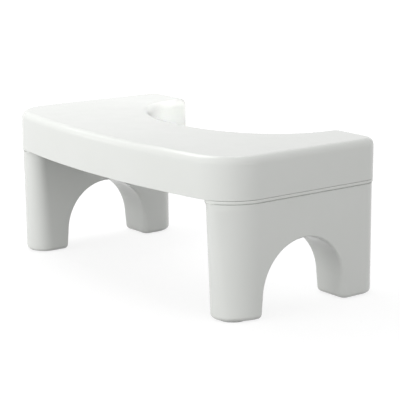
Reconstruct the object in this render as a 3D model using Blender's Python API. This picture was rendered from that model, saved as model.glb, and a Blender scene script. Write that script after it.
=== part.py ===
"""Toilet footstool: a ribbed deck moulding that snaps onto two hollow arched legs with press-in foot pads.

Metres, +Z up. +X is the user's left as they sit, the stool's right end. +Y is the toilet side, where the deck is
cut away. The origin is on the floor, under the middle of the stool.
"""

import math
from collections import namedtuple

import bmesh
import bpy
from mathutils import Matrix, Vector

MM = 0.001

# Whole stool
LENGTH = 426 * MM  # between the end faces, at the front corners before these are rounded
DEPTH = 238 * MM
HEIGHT = 176 * MM
FIT_GAP = 0.3 * MM  # between pieces that touch or seat on each other
OVERRUN = 10 * MM  # how far a cutter runs past what it cuts

# Deck outline
FRONT_BULGE = 23 * MM  # rise of the front edge's arc over its chord
END_TAPER = 3 * MM  # how far each end face leans in from front to rear
FRONT_CORNER_RADIUS = 52 * MM
REAR_CORNER_RADIUS = 20.5 * MM
HORN_RADIUS = 12.5 * MM  # where the rear edge turns into the recess
RECESS_HALF_WIDTH = 137 * MM
RECESS_DEPTH = 119.5 * MM
RECESS_FULLNESS = 2.15  # exponent of the recess's superellipse: 2 is an ellipse, more is squarer

# Deck moulding
DECK_HEIGHT = 45.5 * MM  # top face to the skirt's rim
DECK_WALL = 2.8 * MM
DECK_PLATE = 3.2 * MM
TOP_EDGE_RADIUS = 8.5 * MM

# Ribs under the deck
RIB_THICKNESS = 1.8 * MM
RIB_DEPTH = 20 * MM
MIDDLE_BAY_CELLS = 9
WAIST_CELLS = 3
SOCKET_BAY_CELLS = 2

# Leg flange, which carries the deck's rim, and the spigot inside the rim
LEG_REACH = 51 * MM  # from the end of the stool to the flange's inner edge
FLANGE_THICKNESS = 3.2 * MM
SPIGOT_WALL = 2.0 * MM
SPIGOT_HEIGHT = 13 * MM
FRONT_INNER_RADIUS = 18 * MM
REAR_INNER_RADIUS = 30 * MM

# Leg body
LEG_STEP = 1.0 * MM  # how far the outer face lies behind the flange's edge
LEG_FLARE = 2.5 * MM  # fillet that carries the flange on the inner side
FLARE_LIP = 0.3 * MM
OUTER_SPLAY = 0.8 * MM  # how far the outer face leans out, flange to foot
INNER_SPLAY = 1.5 * MM  # how far the inner face leans in, flange to foot
FOOT_INNER_RADIUS = 22 * MM  # of the front inner corner at the foot
LEG_WALL = 3.4 * MM
LEG_FLOOR = 4.4 * MM
SOLE_EDGE_RADIUS = 5 * MM
WEB_THICKNESS = 2.0 * MM
WEB_SPACING = 44 * MM
WEB_DROP = 8 * MM  # from the flange to the webs' top edge

# Arch through each leg
ARCH_CENTRE_Y = 9 * MM
ARCH_RADIUS = 56.5 * MM
ARCH_CROWN = 80 * MM  # height of the crown above the floor
JAMB_SPLAY = 1.2 * MM  # taper of each jamb, springing to foot
CROWN_EDGE_RADIUS = 2.5 * MM  # of the arch's edges at the crown, on both faces of the leg
JAMB_EDGE_RADIUS = 5.5 * MM  # what that radius grows to at the foot
SKIM = 0.05 * MM  # how far the arch's rounding stands off the face it runs into, so that no cut is tangent

# Snap hooks on the spigot's inner side, and their windows in the deck
HOOK_SPACING = 96 * MM
HOOK_WIDTH = 12 * MM
HOOK_NOSE = 2.2 * MM
HOOK_CATCH = 9 * MM  # height of the window's sill above the rim
HOOK_NOSE_HEIGHT = 6 * MM
HOOK_LEAD = 0.6 * MM  # flat left at the top of the nose
HOOK_SLIT = 2.0 * MM
HOOK_SETBACK = 0.15 * MM  # from the spigot's outer face to the tongue's
WINDOW_SIDE_GAP = 1.0 * MM
WINDOW_HEIGHT = 8 * MM

# Foot pads
PAD_PROUD = 1.0 * MM
PAD_THICKNESS = 2.5 * MM
PAD_MARGIN = 8.5 * MM
PAD_EDGE_RADIUS = 0.6 * MM
STUD_SPACING = 17 * MM
STUD_RADIUS = 2.7 * MM
STUD_HEAD_RADIUS = 3.9 * MM
STUD_TIP_RADIUS = 2.0 * MM
STUD_HEAD_HEIGHT = 3.0 * MM

# Facets
CORNER_STEPS = 9
PAD_EDGE_STEPS = 2
BOW_STEPS = 10
RECESS_STEPS = 15
TOP_EDGE_STEPS = 5
SOLE_EDGE_STEPS = 4
FLARE_STEPS = 3
ARCH_STEPS = 18
ARCH_EDGE_STEPS = 4
STUD_STEPS = 16
SHARP_EDGE_DEGREES = 50
WELD = 0.001 * MM

# Heights and places that follow from the sizes above
RIM_Z = HEIGHT - DECK_HEIGHT
CEILING_Z = HEIGHT - DECK_PLATE
RIB_Z = CEILING_Z - RIB_DEPTH
FLANGE_TOP_Z = RIM_Z - FIT_GAP
FLANGE_BOTTOM_Z = FLANGE_TOP_Z - FLANGE_THICKNESS
FLARE_Z = FLANGE_BOTTOM_Z - LEG_FLARE
SPIGOT_TOP_Z = FLANGE_TOP_Z + SPIGOT_HEIGHT
SPIGOT_INSET = DECK_WALL + FIT_GAP
FOOT_Z = PAD_PROUD
SIDE_Z = FOOT_Z + SOLE_EDGE_RADIUS
FLANGE_X = LENGTH / 2 - LEG_REACH
LEG_TOP_X = FLANGE_X + LEG_FLARE
LEG_FOOT_X = LEG_TOP_X - INNER_SPLAY
FOOT_STEP = LEG_STEP - OUTER_SPLAY
REAR_Y = DEPTH / 2
FRONT_CHORD_Y = FRONT_BULGE - DEPTH / 2
RECESS_CENTRE_Y = REAR_Y - HORN_RADIUS
SPRING_Z = ARCH_CROWN - ARCH_RADIUS
MOULDING_COLOUR = (0.86, 0.87, 0.85, 1.0)
PAD_COLOUR = (0.62, 0.63, 0.62, 1.0)

# A side of an outline is a straight line or an arc. A station is a point with its outward normal; one on the
# arch has its way into the leg and how far it is set in that way.
Line = namedtuple("Line", "normal distance")
Bow = namedtuple("Bow", "centre radius")
Station = namedtuple("Station", "point normal")
ArchStation = namedtuple("ArchStation", "y z way inset")


def direction(angle):
    return Vector((math.cos(angle), math.sin(angle)))


def front_side():
    """The front edge: an arc through both front corners that bulges by FRONT_BULGE."""
    half_chord = LENGTH / 2
    radius = (half_chord**2 + FRONT_BULGE**2) / (2 * FRONT_BULGE)
    return Bow(Vector((0, radius - DEPTH / 2)), radius)


def end_side():
    """The right-hand end face, which leans in towards the rear."""
    corner = Vector((LENGTH / 2, FRONT_CHORD_Y))
    normal = Vector((REAR_Y - FRONT_CHORD_Y, END_TAPER)).normalized()
    return Line(normal, normal.dot(corner))


def rear_side():
    return Line(Vector((0, 1)), REAR_Y)


def inner_side(x):
    """The leg's face towards the middle of the stool."""
    return Line(Vector((-1, 0)), -x)


def arc(centre, radius, start, end, steps):
    """Stations on an arc, anticlockwise from angle start to angle end."""
    angles = [start + (end - start) * i / steps for i in range(steps + 1)]
    return [Station(centre + radius * direction(a), direction(a)) for a in angles]


def fillet_centre(first, second, radius):
    """Centre of the arc that rounds one side into the next, inside both."""
    if isinstance(first, Line) and isinstance(second, Line):
        a, b = first.distance - radius, second.distance - radius
        n, m = first.normal, second.normal
        turn = n.x * m.y - n.y * m.x
        return Vector(((a * m.y - b * n.y) / turn, (n.x * b - m.x * a) / turn))
    bow, line = (first, second) if isinstance(first, Bow) else (second, first)
    along = Vector((-line.normal.y, line.normal.x))
    foot = line.normal * (line.distance - radius) - bow.centre
    half = foot.dot(along)
    reach = math.sqrt((bow.radius - radius) ** 2 - foot.length_squared + half**2)
    found = [bow.centre + foot + along * (s - half) for s in (reach, -reach)]
    return min(found, key=lambda centre: centre.y)


def facing(side, centre):
    """Angle of the side's outward normal where the fillet with this centre touches it."""
    normal = centre - side.centre if isinstance(side, Bow) else side.normal
    return math.atan2(normal.y, normal.x)


def deck_outline():
    """The deck seen from above: bowed front, straight ends, and a half-elliptical recess between two horns."""
    front, end, rear = front_side(), end_side(), rear_side()
    front_corner = fillet_centre(front, end, FRONT_CORNER_RADIUS)
    rear_corner = fillet_centre(end, rear, REAR_CORNER_RADIUS)
    turn_in, turn_up = facing(front, front_corner), facing(end, front_corner)
    horn_centre = Vector((RECESS_HALF_WIDTH + HORN_RADIUS, RECESS_CENTRE_Y))
    half = arc(*front, -math.pi / 2, turn_in, BOW_STEPS)
    half += arc(front_corner, FRONT_CORNER_RADIUS, turn_in, turn_up, CORNER_STEPS)[1:]
    half += arc(rear_corner, REAR_CORNER_RADIUS, turn_up, math.pi / 2, CORNER_STEPS)
    half += arc(horn_centre, HORN_RADIUS, math.pi / 2, math.pi, CORNER_STEPS)
    half += recess_quarter()[1:]
    mirrored = [Station(Vector((-p.x, p.y)), Vector((-n.x, n.y))) for p, n in half[-2:0:-1]]
    return half + mirrored


def recess_quarter():
    """Stations on the recess's right half, from the horn to the middle. They face into the recess."""
    across, deep = RECESS_HALF_WIDTH, RECESS_DEPTH - HORN_RADIUS
    power = 2 / RECESS_FULLNESS
    stations = []
    for i in range(RECESS_STEPS + 1):
        turn = direction(math.pi / 2 * i / RECESS_STEPS)
        x, y = max(turn.x, 0) ** power, turn.y**power
        point = Vector((across * x, RECESS_CENTRE_Y - deep * y))
        slope_x, slope_y = x ** (RECESS_FULLNESS - 1) / across, y ** (RECESS_FULLNESS - 1) / deep
        stations.append(Station(point, Vector((-slope_x, slope_y)).normalized()))
    return stations


def leg_outline(inner_x, front_inner_radius=FRONT_INNER_RADIUS):
    """The leg seen from above: the deck's outline, closed off by the leg's inner face."""
    inner, front, end, rear = inner_side(inner_x), front_side(), end_side(), rear_side()
    front_corner = Bow(fillet_centre(front, end, FRONT_CORNER_RADIUS), FRONT_CORNER_RADIUS)
    rear_corner = fillet_centre(end, rear, REAR_CORNER_RADIUS)
    front_room = (FRONT_CORNER_RADIUS + front_corner.centre.x - inner_x) / 2
    front_radius = min(front_inner_radius, front_room)
    front_inner_corner = fillet_centre(inner, front_corner, front_radius)
    meet, turn_up = facing(front_corner, front_inner_corner), facing(end, front_corner.centre)
    rear_inner_corner, leave = rear_inner_arc(inner, rear, rear_corner, rear_corner.x - inner_x)
    stations = arc(front_inner_corner, front_radius, -math.pi, meet, CORNER_STEPS)
    stations += arc(*front_corner, meet, turn_up, CORNER_STEPS)[1:]
    stations += arc(rear_corner, REAR_CORNER_RADIUS, turn_up, leave, CORNER_STEPS)
    stations += arc(*rear_inner_corner, leave, math.pi, CORNER_STEPS)
    return stations


def rear_inner_arc(inner, rear, rear_corner, room):
    """The leg's rear inner corner and the angle where it starts: it leaves the rear edge, or the rear outer corner
    where its radius takes up all the room beside that corner."""
    if REAR_CORNER_RADIUS < room < REAR_INNER_RADIUS:
        outer = Bow(rear_corner, REAR_CORNER_RADIUS)
        found = Bow(fillet_centre(inner, outer, REAR_INNER_RADIUS), REAR_INNER_RADIUS)
        return found, facing(found, rear_corner)
    radius = min(REAR_INNER_RADIUS, room)
    return Bow(fillet_centre(rear, inner, radius), radius), math.pi / 2


def pad_outline(is_front):
    """A foot pad seen from above: a slot shape in the middle of the sole."""
    jamb = ARCH_RADIUS + JAMB_SPLAY
    sole = foot_ring(0, FOOT_Z)
    inner = min(p.x for p in sole)
    outer = max(p.x for p in sole if (p.y < ARCH_CENTRE_Y) == is_front)
    near = ARCH_CENTRE_Y - jamb if is_front else ARCH_CENTRE_Y + jamb
    far = min(p.y for p in sole) if is_front else max(p.y for p in sole)
    radius = (outer - inner) / 2 - PAD_MARGIN
    half = max(abs(far - near) / 2 - PAD_MARGIN - radius, 0)
    middle = Vector(((inner + outer) / 2, (near + far) / 2))
    stations = arc(middle + Vector((0, half)), radius, 0, math.pi, 2 * CORNER_STEPS)
    return stations + arc(middle - Vector((0, half)), radius, math.pi, math.tau, 2 * CORNER_STEPS)


def ring(stations, inset, z):
    """The outline moved inwards by inset, at height z."""
    return [(p - n * inset).to_3d() + Vector((0, 0, z)) for p, n in stations]


def leg_ring(inset, inner_x, z):
    """The leg's section at height z, inset from the deck's outline, with its inner face at inner_x."""
    return ring(leg_outline(inner_x - inset), inset, z)


def foot_ring(wall, z):
    """The leg's section at the foot, or that of its hollow behind a wall."""
    stations = leg_outline(LEG_FOOT_X - FOOT_STEP, FOOT_INNER_RADIUS)
    return ring(stations, FOOT_STEP + wall, z)


def quarter(radius, steps):
    """(in, up) offsets along a quarter round, from an upright wall over to a level face."""
    turns = [math.pi / 2 * i / steps for i in range(steps + 1)]
    return [(radius * (1 - math.cos(t)), radius * math.sin(t)) for t in turns]


def new_object(name, mesh):
    made = bpy.data.objects.new(name, mesh)
    bpy.context.scene.collection.objects.link(made)
    return made


def from_bmesh(name, bm):
    bmesh.ops.recalc_face_normals(bm, faces=bm.faces)
    mesh = bpy.data.meshes.new(name)
    bm.to_mesh(mesh)
    bm.free()
    return new_object(name, mesh)


def loft(name, rings):
    """A closed solid through rings of equal count, with flat ends."""
    bm = bmesh.new()
    rows = [[bm.verts.new(point) for point in points] for points in rings]
    for lower, upper in zip(rows, rows[1:]):
        for i in range(len(lower)):
            bm.faces.new((lower[i - 1], lower[i], upper[i], upper[i - 1]))
    bm.faces.new(rows[0])
    bm.faces.new(rows[-1])
    bmesh.ops.remove_doubles(bm, verts=bm.verts, dist=WELD)
    return from_bmesh(name, bm)


def boxes(name, corners):
    """One object of separate boxes, each given by its low and high corner."""
    bm = bmesh.new()
    for low, high in corners:
        low, high = Vector(low), Vector(high)
        place = Matrix.Translation((low + high) / 2) @ Matrix.Diagonal((*(high - low), 1))
        bmesh.ops.create_cube(bm, size=1, matrix=place)
    return from_bmesh(name, bm)


def prism(name, points, sweep):
    """A flat outline of 3D points, drawn out along the vector sweep."""
    bm = bmesh.new()
    face = bm.faces.new([bm.verts.new(point) for point in points])
    drawn = bmesh.ops.extrude_face_region(bm, geom=[face])
    moved = [v for v in drawn["geom"] if isinstance(v, bmesh.types.BMVert)]
    bmesh.ops.translate(bm, verts=moved, vec=sweep)
    return from_bmesh(name, bm)


def stud(name, low, high, low_radius, high_radius, x, y):
    """An upright cylinder or cone between two heights."""
    bm = bmesh.new()
    place = Matrix.Translation((x, y, (low + high) / 2))
    bmesh.ops.create_cone(
        bm,
        cap_ends=True,
        segments=STUD_STEPS,
        radius1=low_radius,
        radius2=high_radius,
        depth=high - low,
        matrix=place,
    )
    return from_bmesh(name, bm)


def combine(target, tool, operation):
    """Joins, cuts or keeps the overlap of target with tool, and removes the tool."""
    modifier = target.modifiers.new(operation.lower(), "BOOLEAN")
    modifier.operation = operation
    modifier.solver = "EXACT"
    modifier.object = tool
    graph = bpy.context.evaluated_depsgraph_get()
    mesh = bpy.data.meshes.new_from_object(target.evaluated_get(graph))
    target.modifiers.clear()
    target.data = mesh
    bpy.data.objects.remove(tool)
    return target


def bay_profile():
    """(inset, height) down the inside of a bay: up the skirt's inner face and over to the ceiling."""
    radius = TOP_EDGE_RADIUS - DECK_WALL
    rise = [(DECK_WALL + i, CEILING_Z - radius + up) for i, up in quarter(radius, TOP_EDGE_STEPS)]
    return [(DECK_WALL, RIM_Z - OVERRUN)] + rise


def middle_bay():
    """The deck's hollow between the two leg sockets."""
    stations = deck_outline()
    bay = loft("middle_bay", [ring(stations, inset, z) for inset, z in bay_profile()])
    low, high = RIM_Z - 2 * OVERRUN, HEIGHT + OVERRUN
    for side in (1, -1):
        block = loft("socket_block", [leg_ring(0, FLANGE_X, low), leg_ring(0, FLANGE_X, high)])
        if side < 0:
            flip(block)
        combine(bay, block, "DIFFERENCE")
    return bay


def socket_bay():
    """The hollow that the right-hand leg's spigot enters."""
    rings = [leg_ring(inset, FLANGE_X + inset, z) for inset, z in bay_profile()]
    return loft("socket_bay", rings)


def flip(target):
    """Mirrors the object's mesh across the stool's middle plane."""
    target.data.transform(Matrix.Scale(-1, 4, Vector((1, 0, 0))))
    target.data.flip_normals()


def rib_places():
    """(x places, y places) of the ribs' middle planes."""
    cell = 2 * FLANGE_X / MIDDLE_BAY_CELLS
    across = [cell * i - FLANGE_X for i in range(1, MIDDLE_BAY_CELLS)]
    socket = LEG_REACH - DECK_WALL
    for i in range(1, SOCKET_BAY_CELLS):
        x = FLANGE_X + DECK_WALL + (socket - DECK_WALL) * i / SOCKET_BAY_CELLS
        across += [x, -x]
    waist = (DEPTH - RECESS_DEPTH) / WAIST_CELLS
    rows = int(DEPTH / waist)
    along = [waist * i - DEPTH / 2 for i in range(1, rows) if i != WAIST_CELLS]
    return across, along


def ribs(name, places, is_across):
    """Parallel ribs: upright boards that hang from the ceiling."""
    half, reach = RIB_THICKNESS / 2, LENGTH / 2 + OVERRUN
    top = CEILING_Z + OVERRUN
    if is_across:
        found = [((x - half, -reach, RIB_Z), (x + half, reach, top)) for x in places]
    else:
        found = [((-reach, y - half, RIB_Z), (reach, y + half, top)) for y in places]
    return boxes(name, found)


def hook_places():
    return [ARCH_CENTRE_Y - HOOK_SPACING / 2, ARCH_CENTRE_Y + HOOK_SPACING / 2]


def window_cutters():
    """Windows through both sockets' inner walls, one for each hook."""
    half = HOOK_WIDTH / 2 + WINDOW_SIDE_GAP
    low, high = RIM_Z + HOOK_CATCH, RIM_Z + HOOK_CATCH + WINDOW_HEIGHT
    near, far = FLANGE_X - OVERRUN, FLANGE_X + DECK_WALL + OVERRUN
    found = []
    for y in hook_places():
        found.append(((near, y - half, low), (far, y + half, high)))
        found.append(((-far, y - half, low), (-near, y + half, high)))
    return boxes("windows", found)


def make_deck():
    stations = deck_outline()
    profile = [(0, RIM_Z)]
    profile += [(i, HEIGHT - TOP_EDGE_RADIUS + up) for i, up in quarter(TOP_EDGE_RADIUS, TOP_EDGE_STEPS)]
    deck = loft("deck", [ring(stations, inset, z) for inset, z in profile])
    across, along = rib_places()
    left_bay = socket_bay()
    flip(left_bay)
    for bay in (middle_bay(), socket_bay(), left_bay):
        combine(bay, ribs("cross_ribs", across, True), "DIFFERENCE")
        combine(bay, ribs("long_ribs", along, False), "DIFFERENCE")
        combine(deck, bay, "DIFFERENCE")
    combine(deck, window_cutters(), "DIFFERENCE")
    return deck


def leg_body():
    """The leg's outside: rounded sole, drafted walls, the flare under the flange, the flange and the spigot."""
    rings = []
    for shrink, up in reversed(quarter(SOLE_EDGE_RADIUS, SOLE_EDGE_STEPS)):
        rings.append(foot_ring(shrink, SIDE_Z - up))
    rings.append(leg_ring(LEG_STEP, LEG_TOP_X, FLARE_Z))
    for out, up in quarter(LEG_FLARE - FLARE_LIP, FLARE_STEPS)[1:]:
        rings.append(leg_ring(LEG_STEP, LEG_TOP_X - out, FLARE_Z + up))
    rings += [
        leg_ring(LEG_STEP, FLANGE_X + FLARE_LIP, FLANGE_BOTTOM_Z),
        leg_ring(0, FLANGE_X, FLANGE_BOTTOM_Z),
        leg_ring(0, FLANGE_X, FLANGE_TOP_Z),
        leg_ring(SPIGOT_INSET, FLANGE_X + SPIGOT_INSET, FLANGE_TOP_Z),
        leg_ring(SPIGOT_INSET, FLANGE_X + SPIGOT_INSET, SPIGOT_TOP_Z),
    ]
    return combine(loft("leg", rings), arch("arch", 0), "DIFFERENCE")


def arch_stations(wall):
    """Up the rear jamb, over the crown and down the front jamb, each with its inset into the leg."""
    if wall:
        rise = [(wall, FOOT_Z - OVERRUN)]
    else:
        rise = [(i, SIDE_Z - SKIM - up) for i, up in reversed(quarter(SOLE_EDGE_RADIUS, SOLE_EDGE_STEPS))]
        rise.insert(0, (SOLE_EDGE_RADIUS, FOOT_Z - OVERRUN))
    jamb = [(ARCH_RADIUS + JAMB_SPLAY * (SPRING_Z - z) / (SPRING_Z - FOOT_Z), z, i) for i, z in rise]
    stations = [ArchStation(ARCH_CENTRE_Y + out, z, Vector((1, 0)), i) for out, z, i in jamb]
    for step in range(ARCH_STEPS + 1):
        way = direction(math.pi * step / ARCH_STEPS)
        place = ARCH_RADIUS * way + Vector((ARCH_CENTRE_Y, SPRING_Z))
        stations.append(ArchStation(place.x, place.y, way, wall))
    stations += [ArchStation(ARCH_CENTRE_Y - out, z, Vector((-1, 0)), i) for out, z, i in reversed(jamb)]
    return stations


def arch_ring(stations, turn, is_outer):
    """One section of the arch's tool: turn 0 is inside the tunnel, a quarter turn is at the leg's face."""
    end, points = end_side(), []
    for y, z, way, inset in stations:
        drop = (ARCH_CROWN - z) / (ARCH_CROWN - FOOT_Z)
        radius = max(CROWN_EDGE_RADIUS + (JAMB_EDGE_RADIUS - CROWN_EDGE_RADIUS) * drop**2, inset)
        depth = radius - (radius - inset) * math.sin(turn) - SKIM
        grown = radius - (radius - inset) * math.cos(turn)
        rise = max(z - SIDE_Z, 0) / (FLARE_Z - SIDE_Z)
        if is_outer:
            step = FOOT_STEP + OUTER_SPLAY * rise
            x = (end.distance - step - end.normal.y * y) / end.normal.x - depth
        else:
            x = LEG_FOOT_X + INNER_SPLAY * rise + depth
        points.append(Vector((x, y + grown * way.x, z + grown * way.y)))
    return points


def moved_to(x, points):
    return [Vector((x, p.y, p.z)) for p in points]


def arch(name, wall):
    """The arch's tunnel with rounded edges, or the hump round it where wall is a wall's thickness."""
    stations = arch_stations(wall)
    turns = [math.pi / 2 * i / ARCH_EDGE_STEPS for i in range(ARCH_EDGE_STEPS + 1)]
    inner = [arch_ring(stations, turn, False) for turn in reversed(turns)]
    outer = [arch_ring(stations, turn, True) for turn in turns]
    near, far = FLANGE_X - OVERRUN, LENGTH / 2 + OVERRUN
    return loft(name, [moved_to(near, inner[0])] + inner + outer + [moved_to(far, outer[-1])])


def leg_cavity():
    """The leg's hollow, open at the top, with a hump over the arch and webs above it."""
    inset = SPIGOT_INSET + SPIGOT_WALL
    rings = [
        foot_ring(LEG_WALL, FOOT_Z + LEG_FLOOR),
        leg_ring(inset, FLANGE_X + inset, FLANGE_BOTTOM_Z),
        leg_ring(inset, FLANGE_X + inset, SPIGOT_TOP_Z + OVERRUN),
    ]
    cavity = loft("leg_cavity", rings)
    combine(cavity, arch("hump", LEG_WALL), "DIFFERENCE")
    half, reach = WEB_THICKNESS / 2, LENGTH
    webs = []
    for y in (ARCH_CENTRE_Y - WEB_SPACING / 2, ARCH_CENTRE_Y + WEB_SPACING / 2):
        webs.append(((0, y - half, 0), (reach, y + half, FLANGE_BOTTOM_Z - WEB_DROP)))
    combine(cavity, boxes("webs", webs), "DIFFERENCE")
    return cavity


def hook(y):
    """A springy tongue that stands up from the spigot's inner side, with a nose that catches in the deck's window."""
    outside = FLANGE_X + SPIGOT_INSET + HOOK_SETBACK
    inside = outside + SPIGOT_WALL
    root = FLANGE_TOP_Z + SPIGOT_HEIGHT / 2
    catch = RIM_Z + HOOK_CATCH + FIT_GAP
    top = catch + HOOK_NOSE_HEIGHT
    profile = [
        (inside, root),
        (inside, top),
        (outside + HOOK_LEAD, top),
        (outside - HOOK_NOSE, catch + HOOK_LEAD),
        (outside - HOOK_NOSE, catch),
        (outside, catch),
        (outside, root),
    ]
    points = [Vector((x, y - HOOK_WIDTH / 2, z)) for x, z in profile]
    return prism("hook", points, Vector((0, HOOK_WIDTH, 0)))


def slit_cutters():
    """Slits in the spigot on both sides of each hook, so that its tongue can bend."""
    near, far = FLANGE_X + DECK_WALL / 2, FLANGE_X + SPIGOT_INSET + SPIGOT_WALL + OVERRUN / 2
    low, high = FLANGE_TOP_Z + FIT_GAP, SPIGOT_TOP_Z + OVERRUN
    found = []
    for y in hook_places():
        for edge in (y - HOOK_WIDTH / 2 - HOOK_SLIT, y + HOOK_WIDTH / 2):
            found.append(((near, edge, low), (far, edge + HOOK_SLIT, high)))
    return boxes("slits", found)


def pad_rings(is_front):
    """The pad's sections, from its rounded tread up."""
    stations = pad_outline(is_front)
    rings = []
    for shrink, up in reversed(quarter(PAD_EDGE_RADIUS, PAD_EDGE_STEPS)):
        rings.append(ring(stations, FIT_GAP + shrink, PAD_EDGE_RADIUS - up))
    rings.append(ring(stations, FIT_GAP, PAD_THICKNESS))
    return rings


def recess_rings(is_front):
    """The shallow recess in the sole that the pad sits in."""
    stations = pad_outline(is_front)
    return [ring(stations, 0, FOOT_Z - OVERRUN), ring(stations, 0, PAD_THICKNESS + FIT_GAP)]


def stud_places(is_front):
    """(x, y) of the two studs of a pad, in line with the middle of its sole."""
    points = pad_rings(is_front)[-1]
    x = (min(p.x for p in points) + max(p.x for p in points)) / 2
    y = (min(p.y for p in points) + max(p.y for p in points)) / 2
    return [(x, y - STUD_SPACING / 2), (x, y + STUD_SPACING / 2)]


def make_leg():
    """The right-hand leg."""
    leg = combine(leg_body(), leg_cavity(), "DIFFERENCE")
    combine(leg, slit_cutters(), "DIFFERENCE")
    for y in hook_places():
        combine(leg, hook(y), "UNION")
    for is_front in (True, False):
        combine(leg, loft("pad_recess", recess_rings(is_front)), "DIFFERENCE")
        for x, y in stud_places(is_front):
            radius = STUD_RADIUS + FIT_GAP
            top = FOOT_Z + LEG_FLOOR + OVERRUN / 2
            combine(leg, stud("stud_hole", 0, top, radius, radius, x, y), "DIFFERENCE")
    return leg


def make_pad(is_front):
    """A right-hand foot pad: a flat tread with two barbed studs that push through the foot's floor."""
    pad = loft("pad", pad_rings(is_front))
    head_z = FOOT_Z + LEG_FLOOR + FIT_GAP
    for x, y in stud_places(is_front):
        stem_z = PAD_THICKNESS / 2
        combine(pad, stud("stem", stem_z, head_z + STUD_HEAD_HEIGHT / 2, STUD_RADIUS, STUD_RADIUS, x, y), "UNION")
        head_top = head_z + STUD_HEAD_HEIGHT
        combine(pad, stud("head", head_z, head_top, STUD_HEAD_RADIUS, STUD_TIP_RADIUS, x, y), "UNION")
    return pad


def plastic(name, colour, roughness):
    material = bpy.data.materials.new(name)
    material.use_nodes = True
    shader = material.node_tree.nodes["Principled BSDF"]
    shader.inputs["Base Color"].default_value = colour
    shader.inputs["Roughness"].default_value = roughness
    shader.inputs["Metallic"].default_value = 0.0
    return material


def finish(made, name, collection, material):
    """Names a piece, gives it its material and smooth shading, and puts it in the stool's collection."""
    made.name = name
    made.data.name = name
    made.data.materials.clear()
    made.data.materials.append(material)
    made.data.shade_smooth()
    made.data.set_sharp_from_angle(angle=math.radians(SHARP_EDGE_DEGREES / 2))
    for parent in list(made.users_collection):
        parent.objects.unlink(made)
    collection.objects.link(made)


def mirrored_copy(made):
    copy = new_object(made.name, made.data.copy())
    flip(copy)
    return copy


def main():
    for old in list(bpy.data.objects):
        bpy.data.objects.remove(old)
    stool = bpy.data.collections.new("toilet_footstool")
    bpy.context.scene.collection.children.link(stool)
    moulding = plastic("white_gloss_plastic", MOULDING_COLOUR, 0.25)
    rubber = plastic("grey_pad_rubber", PAD_COLOUR, 0.7)

    finish(make_deck(), "deck", stool, moulding)
    leg = make_leg()
    finish(mirrored_copy(leg), "left_leg", stool, moulding)
    finish(leg, "right_leg", stool, moulding)
    for place in ("front", "rear"):
        pad = make_pad(place == "front")
        finish(mirrored_copy(pad), f"left_{place}_foot_pad", stool, rubber)
        finish(pad, f"right_{place}_foot_pad", stool, rubber)


main()
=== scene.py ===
"""Looks of the toilet footstool: mouldings and pads in fine steps, finishes, a pale studio and a camera.

Metres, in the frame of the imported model: +X is the stool's right end, +Y the toilet side, z = 0 the floor.
The mouldings are built as in the CAD source, with more steps. Finer than there are the joint's groove,
the flare under the flange, the smallest roundings and the grooves of the pads' treads.
"""

import math
from collections import namedtuple

import bmesh
import bpy
from mathutils import Matrix, Vector


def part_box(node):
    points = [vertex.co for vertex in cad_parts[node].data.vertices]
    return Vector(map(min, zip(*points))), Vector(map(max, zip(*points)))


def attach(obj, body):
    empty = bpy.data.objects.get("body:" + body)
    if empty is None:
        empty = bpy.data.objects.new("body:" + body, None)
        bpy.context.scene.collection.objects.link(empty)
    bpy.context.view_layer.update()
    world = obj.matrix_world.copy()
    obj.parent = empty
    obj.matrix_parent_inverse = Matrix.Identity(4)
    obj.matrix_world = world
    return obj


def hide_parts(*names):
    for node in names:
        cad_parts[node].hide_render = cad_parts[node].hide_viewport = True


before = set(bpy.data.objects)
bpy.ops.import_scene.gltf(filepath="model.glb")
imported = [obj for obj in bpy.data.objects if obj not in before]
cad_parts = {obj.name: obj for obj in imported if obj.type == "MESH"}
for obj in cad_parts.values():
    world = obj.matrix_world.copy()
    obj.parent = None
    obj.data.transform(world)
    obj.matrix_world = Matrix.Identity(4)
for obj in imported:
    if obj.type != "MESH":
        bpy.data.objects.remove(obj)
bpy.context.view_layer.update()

MM = 0.001

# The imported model's own measures
deck_low, deck_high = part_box("deck")
leg_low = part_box("right_leg")[0]
HEIGHT = deck_high.z
RIM_Z = deck_low.z
DEPTH = deck_high.y - deck_low.y
FLANGE_X = leg_low.x
FOOT_Z = leg_low.z

# Deck outline
LENGTH = 426 * MM  # between the end faces, at the front corners before these are rounded
FRONT_BULGE = 23 * MM  # rise of the front edge's arc over its chord
END_TAPER = 3 * MM  # how far each end face leans in from front to rear
FRONT_CORNER_RADIUS = 52 * MM
REAR_CORNER_RADIUS = 20.5 * MM
HORN_RADIUS = 12.5 * MM  # where the rear edge turns into the recess
RECESS_HALF_WIDTH = 137 * MM
RECESS_DEPTH = 119.5 * MM
RECESS_FULLNESS = 2.15  # exponent of the recess's superellipse: 2 is an ellipse, more is squarer

# Deck moulding
DECK_WALL = 2.8 * MM
DECK_PLATE = 3.2 * MM
TOP_EDGE_RADIUS = 8.5 * MM
RIM_ROUND = 0.5 * MM
RIB_THICKNESS = 1.8 * MM
RIB_DEPTH = 20 * MM
MIDDLE_BAY_CELLS = 9
WAIST_CELLS = 3
SOCKET_BAY_CELLS = 2

# Leg flange, which carries the deck's rim, and the spigot inside the rim
FIT_GAP = 0.3 * MM  # between pieces that touch or seat on each other
FLANGE_THICKNESS = 2.8 * MM
FLANGE_TOP_ROUND = 0.9 * MM
FLANGE_BOTTOM_ROUND = 0.2 * MM
FLANGE_SETBACK = 0.9 * MM  # of the flange's inner edge behind the deck's rim
SPIGOT_WALL = 2.0 * MM
SPIGOT_HEIGHT = 13 * MM
FRONT_INNER_RADIUS = 18 * MM
REAR_INNER_RADIUS = 30 * MM

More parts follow.
